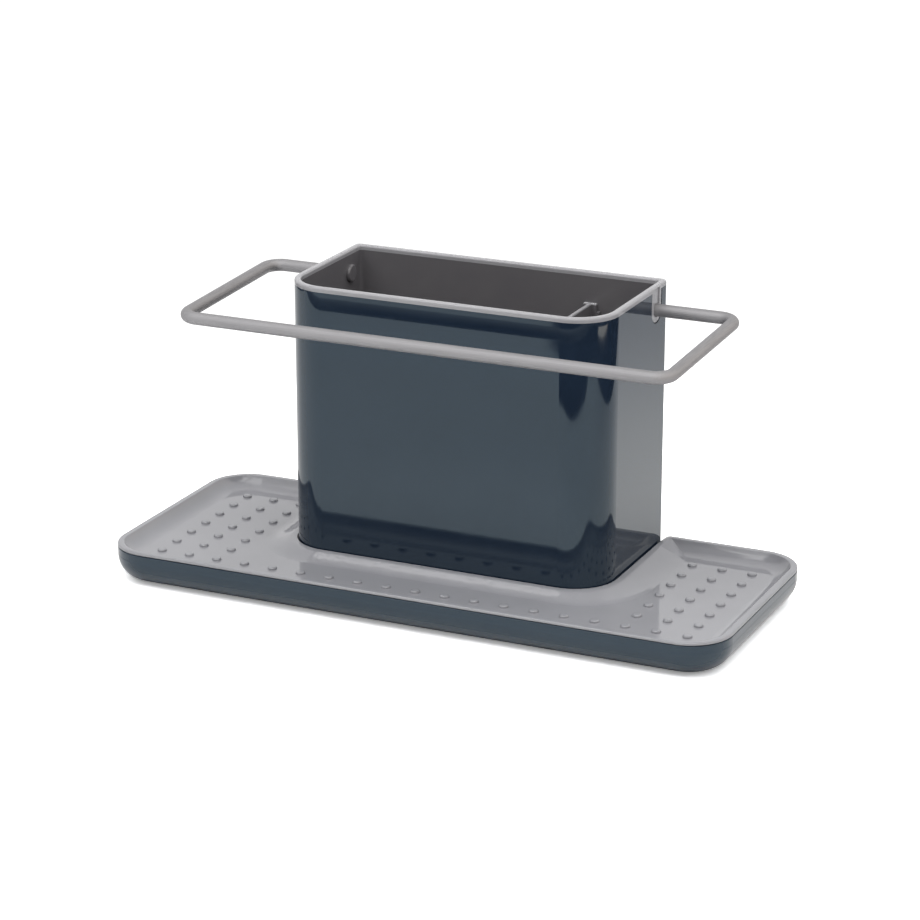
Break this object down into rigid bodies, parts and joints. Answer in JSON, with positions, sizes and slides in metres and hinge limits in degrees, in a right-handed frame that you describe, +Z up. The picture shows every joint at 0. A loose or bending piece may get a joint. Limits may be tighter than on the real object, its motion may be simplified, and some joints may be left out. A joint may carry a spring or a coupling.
{
  "type": "kitchen sink caddy",
  "caption": "Low drip base with a light dimpled drainer tray, a tall divided container for brushes and a bent wire rail round its front for the dishcloth.",
  "frame": {"origin": "on the floor below the middle of the drip base", "axes": "+X along the caddy's length towards the small compartment, +Y towards the back, +Z up"},
  "size_m": [0.31, 0.1274, 0.145],
  "materials": {
    "slate_plastic": "polished",
    "light_plastic": "polished",
    "liner_plastic": "satin",
    "rail_steel": "satin",
    "foot_rubber": "matte"
  },
  "bodies": {
    "base": {"drip_base": "slate_plastic", "foot_front_left": "foot_rubber", "foot_front_right": "foot_rubber", "foot_rear_left": "foot_rubber", "foot_rear_right": "foot_rubber"},
    "tray": {"drainer_tray": "light_plastic"},
    "shell": {"container_shell": "slate_plastic"},
    "liner": {"container_liner": "liner_plastic", "rim_frame": "light_plastic", "cloth_rail": "rail_steel"},
    "divider": {"divider": "light_plastic"}
  },
  "joints": [
    {"name": "tray_lift", "type": "slide", "parent": "base", "child": "tray", "axis": [0, 0, 1], "range_m": [0, 0.03]},
    {"name": "container_lift", "type": "slide", "parent": "tray", "child": "shell", "axis": [0, 0, 1], "range_m": [0, 0.05]},
    {"name": "liner_lift", "type": "slide", "parent": "shell", "child": "liner", "axis": [0, 0, 1], "range_m": [0, 0.14]},
    {"name": "divider_lift", "type": "slide", "parent": "liner", "child": "divider", "axis": [0, 0, 1], "range_m": [0, 0.13]}
  ]
}
